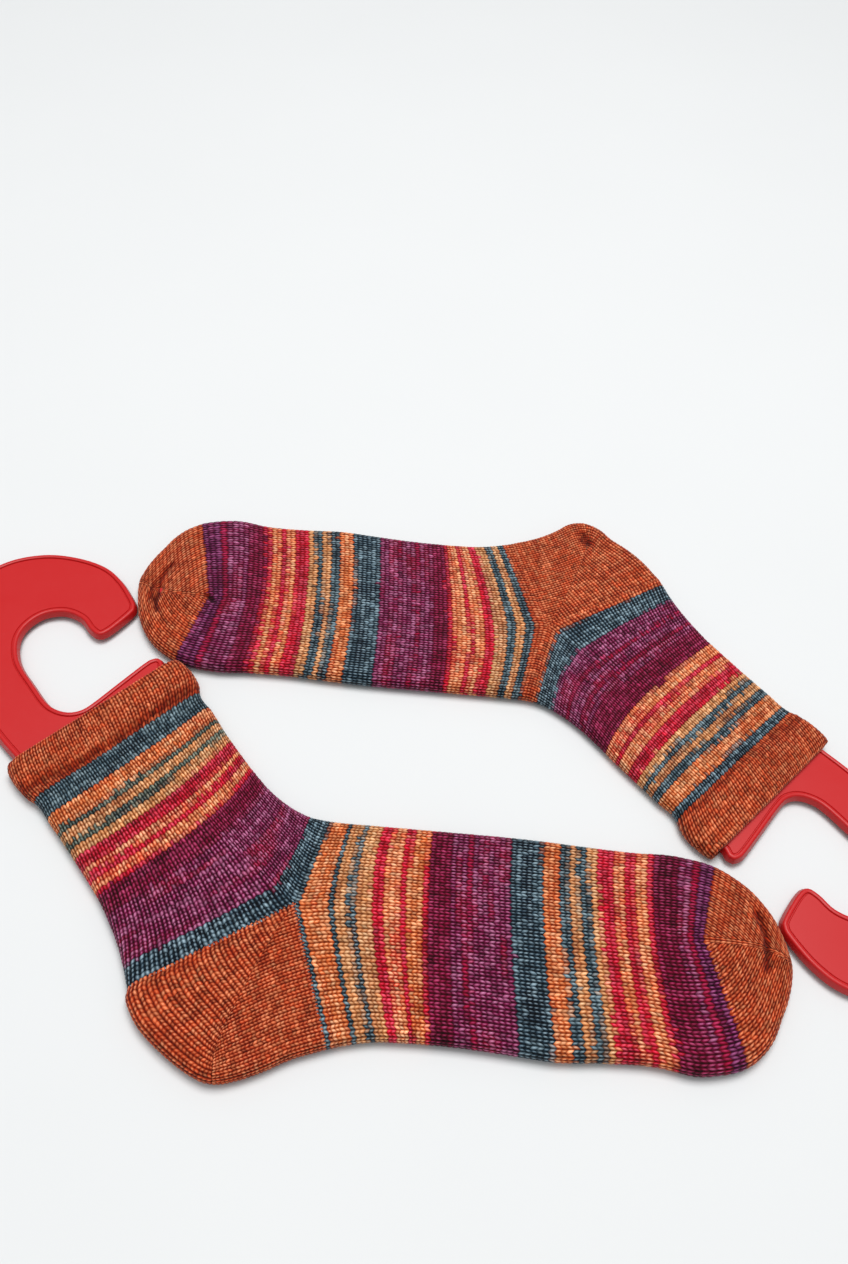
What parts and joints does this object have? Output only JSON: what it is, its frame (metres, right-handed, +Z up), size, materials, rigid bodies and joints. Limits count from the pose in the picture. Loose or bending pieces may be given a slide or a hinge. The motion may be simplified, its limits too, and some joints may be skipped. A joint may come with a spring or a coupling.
{
  "type": "pair of socks on sock blockers",
  "caption": "Hand-knitted short socks with a turned cuff, short-row heel and wedge toe, each pulled flat over a plastic sock blocker with an open hook, lying side by side.",
  "frame": {"origin": "centre of the pair's box, on the surface that the socks lie on", "axes": "+X along the near sock's foot, from its heel to its toe, +Y from the near sock to the far sock, +Z up out of the surface"},
  "size_m": [0.4436, 0.2844, 0.0086],
  "materials": {
    "terracotta_cuff": "hand-dyed wool yarn, plain stocking stitch, terracotta with brown and pale orange flecks",
    "terracotta_heel": "the same terracotta yarn, short-row stocking stitch",
    "terracotta_toe": "the same terracotta yarn, stocking stitch with a decrease line at each side",
    "striped_leg": "self-striping marled wool yarn, stocking stitch: teal, orange, tan, crimson, peach, plum and purple bands",
    "striped_foot": "the same self-striping marled yarn, stocking stitch, two repeats of the bands",
    "red_plastic": "moulded red plastic, satin, with a rounded rim around a slightly sunk panel"
  },
  "bodies": {
    "root": {"near_cuff": "terracotta_cuff", "near_leg": "striped_leg", "near_heel": "terracotta_heel", "near_foot": "striped_foot", "near_toe": "terracotta_toe", "near_blocker": "red_plastic", "far_cuff": "terracotta_cuff", "far_leg": "striped_leg", "far_heel": "terracotta_heel", "far_foot": "striped_foot", "far_toe": "terracotta_toe", "far_blocker": "red_plastic"}
  },
  "joints": []
}
